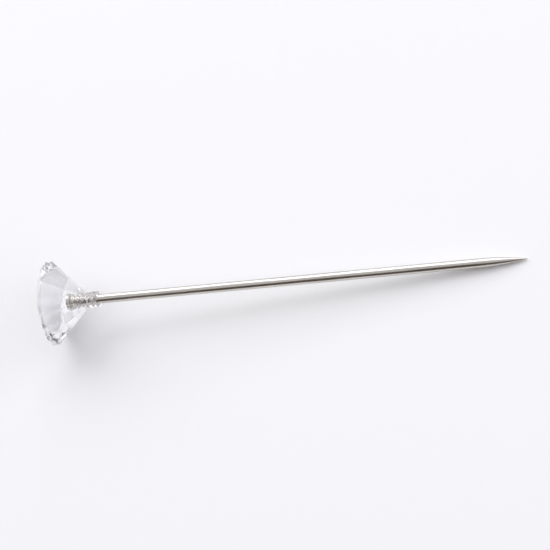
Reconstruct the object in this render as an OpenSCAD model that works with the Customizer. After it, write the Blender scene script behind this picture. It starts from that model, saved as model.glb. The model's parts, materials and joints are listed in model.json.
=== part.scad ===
/* [Shank] */
// Diameter of the drawn steel wire
wire_d = 0.8; // [0.6:0.05:1]
// Length of wire that shows, from the collar to the point
shank_l = 37; // [25:1:60]
// Length of the ground taper at the point
taper_l = 4; // [2:0.5:6]
// Diameter of the tiny blunt end of the point
point_d = 0.06; // [0.02:0.01:0.12]

/* [Gripped end inside the head] */
// Diameter of the upset end
upset_d = 1; // [0.95:0.05:1.4]
// Thickness of the upset end
upset_t = 0.3; // [0.2:0.05:0.6]
// Acrylic between the upset end and the table
cover_t = 1.8; // [1:0.1:2.2]
// Height of the rolled grip rings above the wire, and depth of the grooves between them
ring_h = 0.06; // [0.02:0.01:0.08]
// Spacing of the grip rings, which is stretched a little to fill the head
ring_pitch = 0.45; // [0.3:0.05:0.7]

/* [Head] */
// Width of the head across two opposite flats of the girdle
head_w = 7; // [6:0.25:10]
// Width of the table across two opposite corners
table_w = 3.9; // [3:0.1:4.5]
// Height of the crown, from the girdle to the table
crown_h = 0.65; // [0.5:0.05:1.2]
// Thickness of the narrow wall round the girdle
girdle_t = 0.15; // [0.05:0.05:0.4]
// Height of the pavilion, from the girdle to the collar
pavilion_h = 2.95; // [2.2:0.05:3.4]

/* [Facets] */
// Number of kite-shaped main facets round the crown, and round the pavilion
mains = 8; // [6:1:10]
// Part of the way from the table to the girdle that the star facets reach
star_reach = 0.5; // [0.4:0.05:0.6]
// Part of the way from the girdle to the axis that the lower girdle facets reach
lower_reach = 0.75; // [0.6:0.05:0.8]

/* [Collar] */
// Diameter of the round collar where the wire leaves the head
collar_d = 1.3; // [1.2:0.05:1.6]
// Length of the collar
collar_l = 1.2; // [0.9:0.1:2]
// Radius of the rounded rim of the collar
rim_r = 0.12; // [0.05:0.01:0.15]
// Gap between the wire and the acrylic, which is moulded onto it
mould_gap = 0; // [0:0.005:0.01]

/* [Hidden] */

// The pin is built standing on its table at Z = 0, with its axis upright and its point at the top.
// Heights along the axis
girdle_z = crown_h;
pavilion_z = girdle_z + girdle_t;
collar_z = pavilion_z + pavilion_h;
shank_z = collar_z + collar_l;
point_z = shank_z + shank_l;
taper_z = point_z - taper_l;

// Grip rings, from the upset end to the rim of the collar
grip_z = cover_t + upset_t;
grip_l = shank_z - grip_z;
rings = round(grip_l / ring_pitch);
ring_l = grip_l / rings;

// Radii
wire_r = wire_d / 2;
upset_r = upset_d / 2;
collar_r = collar_d / 2;
table_r = table_w / 2;

// Girdle: two flats for each main facet, meeting at corners
kite_angle = 360 / mains;
flat_angle = kite_angle / 4;
flat_r = head_w / 2;
girdle_r = flat_r / cos(flat_angle);

// Crown: the side corners of its kites, on the planes that run from the girdle to the table's corners
table_flat_r = table_r * cos(kite_angle / 2);
star_r = table_flat_r + star_reach * (girdle_r - table_flat_r);
crown_rise = crown_h / (girdle_r - table_r);
star_h = crown_rise * (girdle_r - star_r * cos(kite_angle / 2));

// Pavilion: the same, on the planes that run from the girdle to the foot of the collar
lower_r = (1 - lower_reach) * girdle_r;
pavilion_rise = pavilion_h / (girdle_r - collar_r);
lower_h = pavilion_rise * (girdle_r - lower_r * cos(kite_angle / 2));
apex_z = pavilion_z + pavilion_rise * girdle_r;

// Taper: an arc that leaves the wire smoothly and ends at the blunt point
taper_drop = wire_r - point_d / 2;
taper_r = (taper_l ^ 2 + taper_drop ^ 2) / (2 * taper_drop);
taper_steps = 12;
round_steps = 64;
rim_step = 15;

// Rest: the pin lies on one flat of its girdle and on the curve of its taper
rest_run = taper_z - pavilion_z;
rest_rise = flat_r + taper_r - wire_r;
rest_tilt = acos(taper_r / norm([rest_run, rest_rise])) - atan2(rest_run, rest_rise);
rest_lift = flat_r * cos(rest_tilt) + pavilion_z * sin(rest_tilt);
table_x = -table_r * cos(flat_angle) * sin(rest_tilt);
point_x = point_z * cos(rest_tilt) + point_d / 2 * sin(rest_tilt);

// Lays the pin down along X, head towards -X, with the middle of its length at X = 0
module laid_down() {
    translate([-(table_x + point_x) / 2, 0, rest_lift])
        rotate([0, 90 + rest_tilt, 0])
            children();
}

// Corners evenly spaced round the axis
function ring(count, first_angle, radius, height) = [
    for (i = [0 : count - 1])
        let (angle = first_angle + i * 360 / count)
            [radius * cos(angle), radius * sin(angle), height]
];

// Width of the tapered wire at a height
function taper_radius(z) = wire_r - taper_r + sqrt(taper_r ^ 2 - (z - taper_z) ^ 2);

// Brilliant: flat facets drawn between rings of corners, from the table to the apex inside the collar
module brilliant() {
    corners = [
        each ring(mains, 0, table_r, 0),
        each ring(mains, kite_angle / 2, star_r, girdle_z - star_h),
        each ring(2 * mains, 0, girdle_r, girdle_z),
        each ring(2 * mains, 0, girdle_r, pavilion_z),
        each ring(mains, kite_angle / 2, lower_r, pavilion_z + lower_h),
        [0, 0, apex_z]
    ];

    // Where each ring starts in the list of corners
    star = mains;
    crown = 2 * mains;
    pavilion = 4 * mains;
    lower = 6 * mains;
    apex = 7 * mains;

    // The facets of one kite's share of the stone, which goes from its own kite to the next one
    facets = [
        for (i = [0 : mains - 1])
            let (
                next = (i + 1) % mains,
                last = (i + mains - 1) % mains,
                near = 2 * i,
                middle = 2 * i + 1,
                far = 2 * next
            )
                each [
                    [i, star + last, crown + near, star + i],
                    [i, star + i, next],
                    [star + i, crown + near, crown + middle],
                    [star + i, crown + middle, crown + far],
                    [crown + near, pavilion + near, pavilion + middle, crown + middle],
                    [crown + middle, pavilion + middle, pavilion + far, crown + far],
                    [lower + i, pavilion + middle, pavilion + near],
                    [lower + i, pavilion + far, pavilion + middle],
                    [pavilion + near, lower + last, apex, lower + i]
                ]
    ];
    table = [for (i = [0 : mains - 1]) i];
    polyhedron(corners, [table, each facets]);
}

// Collar: a short round neck with a rounded rim
module collar() {
    rotate_extrude($fn = round_steps)
        polygon([
            [0, pavilion_z],
            [collar_r, pavilion_z],
            for (angle = [0 : rim_step : 90])
                [collar_r - rim_r * (1 - cos(angle)), shank_z - rim_r * (1 - sin(angle))],
            [0, shank_z]
        ]);
}

// Wire from its upset end, past its grip rings, to its point, larger by a gap all round
module wire(gap) {
    rotate_extrude($fn = round_steps)
        polygon([
            [0, cover_t - gap],
            [upset_r + gap, cover_t - gap],
            [upset_r + gap, grip_z],
            for (i = [0 : rings - 1])
                each [
                    [wire_r - ring_h + gap, grip_z + i * ring_l],
                    [wire_r + ring_h + gap, grip_z + (i + 0.5) * ring_l]
                ],
            [wire_r + gap, shank_z],
            for (i = [0 : taper_steps])
                let (z = taper_z + i * taper_l / taper_steps)
                    [taper_radius(z) + gap, z],
            [0, point_z]
        ]);
}

// Head: one clear moulding round the end of the wire
module head() {
    color([0.88, 0.88, 0.92, 0.6])
        laid_down()
            rotate([0, 0, flat_angle])
                difference() {
                    union() {
                        brilliant();
                        collar();
                    }
                    wire(mould_gap);
                }
}

// Shank: plated wire, ground to a point
module shank() {
    color([0.76, 0.74, 0.71])
        laid_down()
            wire(0);
}

head();
shank();
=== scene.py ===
import json
import math

import bpy
from mathutils import Matrix, Vector


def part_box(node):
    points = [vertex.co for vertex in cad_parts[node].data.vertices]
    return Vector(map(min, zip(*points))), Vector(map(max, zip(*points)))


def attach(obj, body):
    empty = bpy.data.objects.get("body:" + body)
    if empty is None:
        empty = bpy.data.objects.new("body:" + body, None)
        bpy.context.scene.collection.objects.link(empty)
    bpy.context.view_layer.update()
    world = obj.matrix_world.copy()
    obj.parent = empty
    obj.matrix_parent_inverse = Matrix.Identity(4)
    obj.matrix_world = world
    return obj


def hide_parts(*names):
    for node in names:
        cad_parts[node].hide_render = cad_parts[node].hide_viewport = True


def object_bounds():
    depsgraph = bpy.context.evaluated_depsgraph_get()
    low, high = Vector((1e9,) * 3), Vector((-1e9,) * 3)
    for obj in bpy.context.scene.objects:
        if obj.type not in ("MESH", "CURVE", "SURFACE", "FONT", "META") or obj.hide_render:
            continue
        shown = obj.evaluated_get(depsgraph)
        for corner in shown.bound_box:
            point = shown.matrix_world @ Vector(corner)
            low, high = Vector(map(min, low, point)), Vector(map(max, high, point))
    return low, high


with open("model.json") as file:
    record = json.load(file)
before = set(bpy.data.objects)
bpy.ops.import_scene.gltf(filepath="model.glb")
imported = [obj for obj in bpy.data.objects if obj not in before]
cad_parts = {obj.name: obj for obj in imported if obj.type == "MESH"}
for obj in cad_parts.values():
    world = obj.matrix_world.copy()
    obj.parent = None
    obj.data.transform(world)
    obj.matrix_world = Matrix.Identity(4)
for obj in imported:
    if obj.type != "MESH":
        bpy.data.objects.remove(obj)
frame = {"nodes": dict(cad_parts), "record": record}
cad_low, cad_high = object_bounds()


# Shank: steel wire of 0.8 mm, drawn hard and cut to length. One end is upset and rolled with grip
# rings, which hold the head. The other end is ground to a long point, and then the whole wire is
# tumbled in a barrel and plated with bright nickel.

MM = 0.001
mount = frame["record"]["mounts"][0]
pin_axis = Vector(mount["axis"]).normalized()
straight_middle = Vector(mount["pos_m"])
wire_r = mount["dims"]["r_mm"]


def reach(node):
    """Where a node starts and ends along the pin, in millimetres from the middle of the straight wire."""
    stations = [(vertex.co - straight_middle).dot(pin_axis) / MM for vertex in node.data.vertices]
    return min(stations), max(stations)


# The pin is modelled upright in millimetres, on its table at zero, and then laid down as it rests
table_station, collar_station = reach(frame["nodes"]["head"])
upset_station, point_station = reach(frame["nodes"]["shank"])
head_l = collar_station - table_station
upset_start = upset_station - table_station
point_end = point_station - table_station
taper_start = head_l + mount["dims"]["length_mm"]
table_middle = straight_middle + pin_axis * table_station * MM
lean = math.atan2(pin_axis.x, pin_axis.z)
laid_down = Matrix.Translation(table_middle) @ Matrix.Rotation(lean, 4, "Y") @ Matrix.Scale(MM, 4)

UPSET_R = 0.5
UPSET_T = 0.3
UPSET_EDGE = 0.05
RING_H = 0.06
RING_PITCH = 0.45
RING_STEPS = 8
POINT_R = 0.03
POINT_EDGE = 0.018
TAPER_STEPS = 24
WIRE_SIDES = 96
SMOOTH_ANGLE = math.radians(30)


def wire_outline(lap):
    """Stations of height and radius along the wire, from its upset end to its point, smaller by a lap."""
    grip_start = upset_start + UPSET_T
    rings = round((head_l - grip_start) / RING_PITCH)
    ring_l = (head_l - grip_start) / rings
    outline = [
        (upset_start + lap, UPSET_R - lap),
        (grip_start - lap, UPSET_R - lap),
        (grip_start - lap, wire_r - lap - RING_H),
    ]

    # The rings are waves, and the last one runs out into the plain wire where the collar ends
    last_step = rings * RING_STEPS - RING_STEPS // 4
    for step in range(1, last_step):
        wave = math.cos(2 * math.pi * step / RING_STEPS)
        outline.append((grip_start + ring_l * step / RING_STEPS, wire_r - lap - RING_H * wave))
    outline.append((head_l, wire_r - lap))

    # The taper is an arc that leaves the wire smoothly
    drop = wire_r - POINT_R
    taper_l = point_end - taper_start
    taper_r = (taper_l**2 + drop**2) / (2 * drop)
    for step in range(TAPER_STEPS + 1):
        run = taper_l * step / TAPER_STEPS
        outline.append((taper_start + run, wire_r - lap - taper_r + math.sqrt(taper_r**2 - run**2)))
    return outline


def drawn_wire(name, lap=0.0):
    """Extrudes a disc of the wire along its outline, ring by ring."""
    outline = wire_outline(lap)
    bpy.ops.object.select_all(action="DESELECT")
    bpy.ops.mesh.primitive_circle_add(vertices=WIRE_SIDES, radius=outline[0][1], fill_type="NGON")
    piece = bpy.context.object
    piece.name = name
    bpy.ops.object.mode_set(mode="EDIT")
    bpy.ops.transform.translate(value=(0, 0, outline[0][0]))
    for (last_height, last_radius), (height, radius) in zip(outline, outline[1:]):
        bpy.ops.mesh.extrude_region_move(TRANSFORM_OT_translate={"value": (0, 0, height - last_height)})
        grow = radius / last_radius
        bpy.ops.transform.resize(value=(grow, grow, 1), center_override=(0, 0, height))
    bpy.ops.mesh.select_all(action="SELECT")
    bpy.ops.mesh.normals_make_consistent(inside=False)
    bpy.ops.object.mode_set(mode="OBJECT")
    return piece


def soften(piece, is_chosen, width, segments):
    """Rounds the edges that a test picks by their two ends."""
    bpy.ops.object.mode_set(mode="EDIT")
    bpy.ops.mesh.select_mode(type="EDGE")
    bpy.ops.mesh.select_all(action="DESELECT")
    bpy.ops.object.mode_set(mode="OBJECT")
    for edge in piece.data.edges:
        edge.select = is_chosen(*(piece.data.vertices[i].co for i in edge.vertices))
    bpy.ops.object.mode_set(mode="EDIT")
    bpy.ops.mesh.bevel(offset=width, offset_type="OFFSET", segments=segments, affect="EDGES")
    bpy.ops.object.mode_set(mode="OBJECT")


def lay_down(piece, turn=0.0):
    """Lays an upright piece down where the frame has it, with its place in its mesh."""
    bpy.ops.object.select_all(action="DESELECT")
    piece.select_set(True)
    bpy.context.view_layer.objects.active = piece
    piece.matrix_world = laid_down @ Matrix.Rotation(turn, 4, "Z")
    bpy.ops.object.transform_apply(location=True, rotation=True, scale=True)


def is_upset_rim(first, second):
    """Tells the two rims of the upset end by their height and radius."""
    level = abs(first.z - second.z) < UPSET_EDGE
    on_upset = max(first.z, second.z) < upset_start + UPSET_T + UPSET_EDGE
    return level and on_upset and min(first.to_2d().length, second.to_2d().length) > UPSET_R - UPSET_EDGE


def is_point_rim(first, second):
    """Tells the rim of the tiny blunt end by its height."""
    return min(first.z, second.z) > point_end - POINT_EDGE / 2


shank = drawn_wire("plated_shank")
soften(shank, is_upset_rim, UPSET_EDGE, segments=4)
soften(shank, is_point_rim, POINT_EDGE, segments=3)
bpy.ops.object.shade_smooth_by_angle(angle=SMOOTH_ANGLE)
lay_down(shank)


def colour(code):
    """Linear colour of an sRGB hex value."""
    parts = [int(code[i : i + 2], 16) / 255 for i in (1, 3, 5)]
    return (*(part / 12.92 if part <= 0.04045 else ((part + 0.055) / 1.055) ** 2.4 for part in parts), 1)


def add_node(tree, kind, inputs=(), **settings):
    """Adds a node with its settings, and fills or links its inputs."""
    node = tree.nodes.new(kind)
    for name, value in settings.items():
        setattr(node, name, value)
    for name, value in dict(inputs).items():
        if isinstance(value, bpy.types.NodeSocket):
            tree.links.new(value, node.inputs[name])
        else:
            node.inputs[name].default_value = value
    return node


def pin_coordinates(tree):
    """Object coordinates in millimetres, turned so that Z runs from the table to the point."""
    place = add_node(tree, "ShaderNodeTexCoord")
    turned = add_node(
        tree,
        "ShaderNodeMapping",
        {
            "Vector": place.outputs["Object"],
            "Location": table_middle,
            "Rotation": (0, lean, 0),
            "Scale": (MM, MM, MM),
        },
        vector_type="TEXTURE",
    )
    return turned.outputs["Vector"]


def empty_material(name):
    """A new material with its node tree, which is still empty."""
    material = bpy.data.materials.new(name)
    material.use_nodes = True
    material.node_tree.nodes.clear()
    return material, material.node_tree


# Bright nickel, barrel plated over drawn steel: a warm grey mirror, softened by the die lines that
# run along the wire and by the light knocks of the barrel, with grinding marks round the point.
# The lines are a few thousandths of a millimetre apart and are drawn coarser, so that they show.
BRIGHT_NICKEL = "#DBD8D3"
TARNISHED_NICKEL = "#CBC6BF"
TARNISH = 3.0
DIE_LINE = 0.09
DIE_LINE_RUN = 6.0
KNOCK = 0.25
KNOCK_SHARE = 0.5
GRIND_MARK = 0.05
GRIND_FADE_IN = (-0.3, 0.5)
RELIEF_DEPTH = 0.015
LINE_NOISE = (0.3, 0.7)
PLATE_ROUGHNESS = (0.16, 0.28)

nickel, tree = empty_material("bright_nickel_on_drawn_steel")
along = pin_coordinates(tree)
stretched = add_node(
    tree,
    "ShaderNodeMapping",
    {"Vector": along, "Scale": (1 / DIE_LINE, 1 / DIE_LINE, 1 / DIE_LINE_RUN)},
)
die_lines = add_node(
    tree, "ShaderNodeTexNoise", {"Vector": stretched.outputs["Vector"], "Scale": 1.0, "Detail": 3.0}
)
knocks = add_node(tree, "ShaderNodeTexNoise", {"Vector": along, "Scale": 1 / KNOCK, "Detail": 4.0})
tarnish = add_node(tree, "ShaderNodeTexNoise", {"Vector": along, "Scale": 1 / TARNISH, "Detail": 2.0})
height_along = add_node(tree, "ShaderNodeSeparateXYZ", {"Vector": along})
grind_marks = add_node(
    tree,
    "ShaderNodeTexNoise",
    {"W": height_along.outputs["Z"], "Scale": 1 / GRIND_MARK, "Detail": 4.0, "Roughness": 0.7},
    noise_dimensions="1D",
)
on_taper = add_node(
    tree,
    "ShaderNodeMapRange",
    {
        "Value": height_along.outputs["Z"],
        "From Min": taper_start + GRIND_FADE_IN[0],
        "From Max": taper_start + GRIND_FADE_IN[1],
    },
)
lines = add_node(
    tree,
    "ShaderNodeMix",
    {
        "Factor": on_taper.outputs["Result"],
        "A": die_lines.outputs["Fac"],
        "B": grind_marks.outputs["Fac"],
    },
)
relief = add_node(
    tree,
    "ShaderNodeMath",
    {0: knocks.outputs["Fac"], 1: KNOCK_SHARE, 2: lines.outputs["Result"]},
    operation="MULTIPLY_ADD",
)
bump = add_node(
    tree,
    "ShaderNodeBump",
    {"Height": relief.outputs["Value"], "Strength": 0.6, "Distance": RELIEF_DEPTH * MM},
)
gloss = add_node(
    tree,
    "ShaderNodeMapRange",
    {
        "Value": lines.outputs["Result"],
        "From Min": LINE_NOISE[0],
        "From Max": LINE_NOISE[1],
        "To Min": PLATE_ROUGHNESS[0],
        "To Max": PLATE_ROUGHNESS[1],
    },
)
plate = add_node(
    tree,
    "ShaderNodeMix",
    {"Factor": tarnish.outputs["Fac"], "A": colour(BRIGHT_NICKEL), "B": colour(TARNISHED_NICKEL)},
    data_type="RGBA",
)
surface = add_node(
    tree,
    "ShaderNodeBsdfPrincipled",
    {
        "Base Color": plate.outputs["Result"],
        "Metallic": 1.0,
        "Roughness": gloss.outputs["Result"],
        "Normal": bump.outputs["Normal"],
    },
)
add_node(tree, "ShaderNodeOutputMaterial", {"Surface": surface.outputs["BSDF"]})
shank.data.materials.append(nickel)

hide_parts("shank")
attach(shank, "root")


# Head: a brilliant with a short round collar, injection moulded in one shot of clear acrylic
# round the gripped end of the wire. The facets come polished from the mould, and their edges
# are very slightly soft.

head_low, head_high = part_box("head")
MAINS = 8
TABLE_R = 1.95
CROWN_H = 0.65
GIRDLE_T = 0.15
PAVILION_H = 2.95
STAR_REACH = 0.5
LOWER_REACH = 0.75
COLLAR_R = 0.65
COLLAR_RIM = 0.12
COLLAR_SIDES = 96
FACET_EDGE = 0.03
BLANK_SPARE = 1.0
CUT_SLACK = 0.0001
WELD = 0.001

girdle_z = CROWN_H
pavilion_z = girdle_z + GIRDLE_T
kite_turn = 2 * math.pi / MAINS
flat_turn = kite_turn / 4
girdle_r = (head_high.y - head_low.y) / 2 / MM / math.cos(flat_turn)

table_flat_r = TABLE_R * math.cos(kite_turn / 2)
star_r = table_flat_r + STAR_REACH * (girdle_r - table_flat_r)
crown_rise = CROWN_H / (girdle_r - TABLE_R)
star_z = girdle_z - crown_rise * (girdle_r - star_r * math.cos(kite_turn / 2))
lower_r = (1 - LOWER_REACH) * girdle_r
pavilion_rise = PAVILION_H / (girdle_r - COLLAR_R)
lower_z = pavilion_z + pavilion_rise * (girdle_r - lower_r * math.cos(kite_turn / 2))
apex_z = pavilion_z + pavilion_rise * girdle_r
stone_middle = Vector((0, 0, (girdle_z + pavilion_z) / 2))


def corner(step, radius, height):
    """A corner of the stone, at a number of half kites round the axis."""
    turn = step * kite_turn / 2
    return Vector((radius * math.cos(turn), radius * math.sin(turn), height))


def cut_facet(first, second, third):
    """Cuts the stone along the plane through three corners, and closes the cut."""
    outward = (second - first).cross(third - first).normalized()
    if outward.dot(first - stone_middle) < 0:
        outward.negate()
    bpy.ops.mesh.select_all(action="SELECT")
    bpy.ops.mesh.bisect(
        plane_co=first, plane_no=outward, use_fill=True, clear_outer=True, threshold=CUT_SLACK
    )


# The blank has the flats of the girdle, and each facet is cut off it
blank_l = apex_z + BLANK_SPARE
bpy.ops.object.select_all(action="DESELECT")
bpy.ops.mesh.primitive_cylinder_add(
    vertices=2 * MAINS, radius=girdle_r, depth=blank_l, location=(0, 0, blank_l / 2)
)
head = bpy.context.object
head.name = "faceted_head"
bpy.ops.object.transform_apply(location=True, rotation=True, scale=True)
bpy.ops.object.mode_set(mode="EDIT")
for near in range(0, 2 * MAINS, 2):
    middle, far = near + 1, near + 2
    star = corner(middle, star_r, star_z)
    lower = corner(middle, lower_r, lower_z)
    cut_facet(corner(near, girdle_r, girdle_z), corner(near, TABLE_R, 0), star)
    cut_facet(corner(near, TABLE_R, 0), corner(far, TABLE_R, 0), star)
    cut_facet(corner(near, girdle_r, girdle_z), corner(middle, girdle_r, girdle_z), star)
    cut_facet(corner(middle, girdle_r, girdle_z), corner(far, girdle_r, girdle_z), star)
    cut_facet(corner(near, girdle_r, pavilion_z), corner(0, 0, apex_z), lower)
    cut_facet(corner(near, girdle_r, pavilion_z), corner(middle, girdle_r, pavilion_z), lower)
    cut_facet(corner(middle, girdle_r, pavilion_z), corner(far, girdle_r, pavilion_z), lower)
bpy.ops.mesh.select_all(action="SELECT")
bpy.ops.mesh.remove_doubles(threshold=WELD)
bpy.ops.mesh.normals_make_consistent(inside=False)
bpy.ops.mesh.bevel(offset=FACET_EDGE, offset_type="OFFSET", segments=2, affect="EDGES")
bpy.ops.object.mode_set(mode="OBJECT")


def is_collar_rim(first, second):
    """Tells the rim at the collar's end by its height."""
    return min(first.z, second.z) > head_l - COLLAR_RIM / 2


# The collar grows out of the stone and has a rounded rim
collar_start = pavilion_z + PAVILION_H / 2
bpy.ops.object.select_all(action="DESELECT")
bpy.ops.mesh.primitive_cylinder_add(
    vertices=COLLAR_SIDES,
    radius=COLLAR_R,
    depth=head_l - collar_start,
    location=(0, 0, (collar_start + head_l) / 2),
)
collar = bpy.context.object
bpy.ops.object.transform_apply(location=True, rotation=True, scale=True)
soften(collar, is_collar_rim, COLLAR_RIM, segments=8)
bpy.ops.object.shade_smooth_by_angle(angle=SMOOTH_ANGLE)


def mould(blank, tool, operation):
    """Joins a tool to the blank, or takes it out of the blank, and deletes the tool."""
    bpy.ops.object.select_all(action="DESELECT")
    blank.select_set(True)
    bpy.context.view_layer.objects.active = blank
    modifier = blank.modifiers.new(operation.lower(), "BOOLEAN")
    modifier.operation = operation
    modifier.solver = "EXACT"
    modifier.object = tool
    bpy.ops.object.modifier_apply(modifier=modifier.name)
    bpy.data.objects.remove(tool)


# The hole laps the wire by a hair, because the acrylic wets the steel and no air lies between them
WIRE_LAP = 0.015
grip_hole = drawn_wire("grip_hole", WIRE_LAP)
mould(head, collar, "UNION")
mould(head, grip_hole, "DIFFERENCE")
bpy.ops.object.mode_set(mode="EDIT")
bpy.ops.mesh.select_all(action="SELECT")
bpy.ops.mesh.remove_doubles(threshold=WELD)
bpy.ops.object.mode_set(mode="OBJECT")
lay_down(head, flat_turn)

# Clear acrylic, moulded and polished: colourless with a trace of lilac, as glossy as glass but
# with a lower refraction. The thick stone shrinks as it cools, which bows its facets a little, and
# handling leaves a faint haze.
CLEAR_ACRYLIC = "#FCFCFE"
ACRYLIC_IOR = 1.49
SHRINK_WAVE = 1.6
SHRINK_DEPTH = 0.035
HAZE = 0.5
HAZE_NOISE = (0.35, 0.7)
HAZE_ROUGHNESS = (0.01, 0.05)

acrylic, tree = empty_material("moulded_clear_acrylic")
along = pin_coordinates(tree)
waves = add_node(tree, "ShaderNodeTexNoise", {"Vector": along, "Scale": 1 / SHRINK_WAVE, "Detail": 1.0})
haze = add_node(tree, "ShaderNodeTexNoise", {"Vector": along, "Scale": 1 / HAZE, "Detail": 5.0})
bump = add_node(
    tree,
    "ShaderNodeBump",
    {"Height": waves.outputs["Fac"], "Strength": 0.6, "Distance": SHRINK_DEPTH * MM},
)
gloss = add_node(
    tree,
    "ShaderNodeMapRange",
    {
        "Value": haze.outputs["Fac"],
        "From Min": HAZE_NOISE[0],
        "From Max": HAZE_NOISE[1],
        "To Min": HAZE_ROUGHNESS[0],
        "To Max": HAZE_ROUGHNESS[1],
    },
)
surface = add_node(
    tree,
    "ShaderNodeBsdfPrincipled",
    {
        "Base Color": colour(CLEAR_ACRYLIC),
        "Roughness": gloss.outputs["Result"],
        "IOR": ACRYLIC_IOR,
        "Transmission Weight": 1.0,
        "Normal": bump.outputs["Normal"],
    },
)
add_node(tree, "ShaderNodeOutputMaterial", {"Surface": surface.outputs["BSDF"]})
head.data.materials.append(acrylic)

# Light is mirrored many times inside a brilliant before it leaves, and would turn black if cut short
STONE_BOUNCES = 12
bpy.context.scene.cycles.glossy_bounces = STONE_BOUNCES

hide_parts("head")
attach(head, "root")


# Floor: a sheet of matt white paper with a fine tooth, 4 m wide and so far wider than the pin,
# which lies on it by one flat of its girdle and the start of its taper.

FLOOR_W = 4.0
WHITE_PAPER = "#FBFBFC"
PAPER_TOOTH = 0.4
TOOTH_DEPTH = 0.02

bpy.ops.object.select_all(action="DESELECT")
bpy.ops.mesh.primitive_plane_add(size=FLOOR_W)
floor = bpy.context.object
floor.name = "paper_floor"
paper, tree = empty_material("matt_white_paper")
place = add_node(tree, "ShaderNodeTexCoord")
tooth = add_node(
    tree,
    "ShaderNodeTexNoise",
    {"Vector": place.outputs["Object"], "Scale": 1 / (PAPER_TOOTH * MM), "Detail": 3.0},
)
bump = add_node(
    tree,
    "ShaderNodeBump",
    {"Height": tooth.outputs["Fac"], "Strength": 0.2, "Distance": TOOTH_DEPTH * MM},
)
surface = add_node(
    tree,
    "ShaderNodeBsdfPrincipled",
    {"Base Color": colour(WHITE_PAPER), "Roughness": 0.9, "Normal": bump.outputs["Normal"]},
)
add_node(tree, "ShaderNodeOutputMaterial", {"Surface": surface.outputs["BSDF"]})
floor.data.materials.append(paper)


# Light: a pale studio room with a large softbox behind the pin on the head's side, a smaller and
# weaker one beyond the point, and a brown card on the camera's side, which the camera doesn't see
# and which the wire and the facets mirror as their dark bands.

COOL_WHITE = "#FAFAFF"
pin_middle = (cad_low + cad_high) / 2


def direction(azimuth, elevation):
    """Direction from the pin, with azimuth 0 towards -Y and 90 towards +X."""
    turn, rise = math.radians(azimuth), math.radians(elevation)
    return Vector((math.sin(turn) * math.cos(rise), -math.cos(turn) * math.cos(rise), math.sin(rise)))


def face_pin(thing, azimuth, elevation, distance):
    """Puts a lamp, card or camera at a distance in metres from the pin, looking at it."""
    away = direction(azimuth, elevation)
    thing.location = pin_middle + away * distance
    thing.rotation_euler = (-away).to_track_quat("-Z", "Y").to_euler()


def softbox(name, azimuth, elevation, distance, width, height, brightness):
    """A soft lamp, its sizes in metres. At a brightness of 1 its front looks as bright as white paper."""
    bpy.ops.object.light_add(type="AREA")
    lamp = bpy.context.object
    lamp.name = name
    lamp.data.color = colour(COOL_WHITE)[:3]
    lamp.data.shape = "RECTANGLE"
    lamp.data.size = width
    lamp.data.size_y = height
    lamp.data.energy = brightness * math.pi * width * height
    face_pin(lamp, azimuth, elevation, distance)


softbox("back_softbox", azimuth=205, elevation=42, distance=0.7, width=1.0, height=0.6, brightness=1.95)
softbox("point_softbox", azimuth=100, elevation=30, distance=0.7, width=0.6, height=0.4, brightness=1.2)

CARD_W = 1.1
CARD_H = 0.42
BROWN_FLOCK = "#574A3F"

bpy.ops.object.select_all(action="DESELECT")
bpy.ops.mesh.primitive_plane_add(size=1)
card = bpy.context.object
card.name = "brown_card"
card.scale = (CARD_W, CARD_H, 1)
face_pin(card, azimuth=-20, elevation=27, distance=0.42)
bpy.ops.object.transform_apply(location=True, rotation=True, scale=True)
card.visible_camera = False
flock, tree = empty_material("brown_flock_card")
surface = add_node(tree, "ShaderNodeBsdfPrincipled", {"Base Color": colour(BROWN_FLOCK), "Roughness": 1.0})
add_node(tree, "ShaderNodeOutputMaterial", {"Surface": surface.outputs["BSDF"]})
card.data.materials.append(flock)

ROOM_WHITE = "#F5F5F7"
ROOM_BRIGHTNESS = 0.72

room = bpy.data.worlds.new("pale_studio_room")
room.use_nodes = True
room.node_tree.nodes.clear()
walls = add_node(
    room.node_tree, "ShaderNodeBackground", {"Color": colour(ROOM_WHITE), "Strength": ROOM_BRIGHTNESS}
)
add_node(room.node_tree, "ShaderNodeOutputWorld", {"Surface": walls.outputs["Background"]})
bpy.context.scene.world = room
bpy.context.scene.view_settings.view_transform = "Standard"


# Camera: a long lens that looks down at the pin as the photograph does, from the point's side, so
# that the collar is nearer than the table. It is rolled until the pin runs right and slightly up.
# Angles are in degrees, and lengths in metres.

CAMERA_AZIMUTH = 45
CAMERA_ELEVATION = 60
CAMERA_DISTANCE = 0.54
PIN_SLOPE = 5.4
PICTURE_WIDTH = 0.0455

bpy.ops.object.camera_add()
camera = bpy.context.object
face_pin(camera, CAMERA_AZIMUTH, CAMERA_ELEVATION, CAMERA_DISTANCE)
unrolled = camera.rotation_euler.to_matrix()
seen_axis = unrolled.inverted() @ pin_axis
roll = math.atan2(seen_axis.y, seen_axis.x) - math.radians(PIN_SLOPE)
camera.rotation_euler = (unrolled @ Matrix.Rotation(roll, 3, "Z")).to_euler()
camera.data.lens = camera.data.sensor_width * CAMERA_DISTANCE / PICTURE_WIDTH
bpy.context.scene.camera = camera
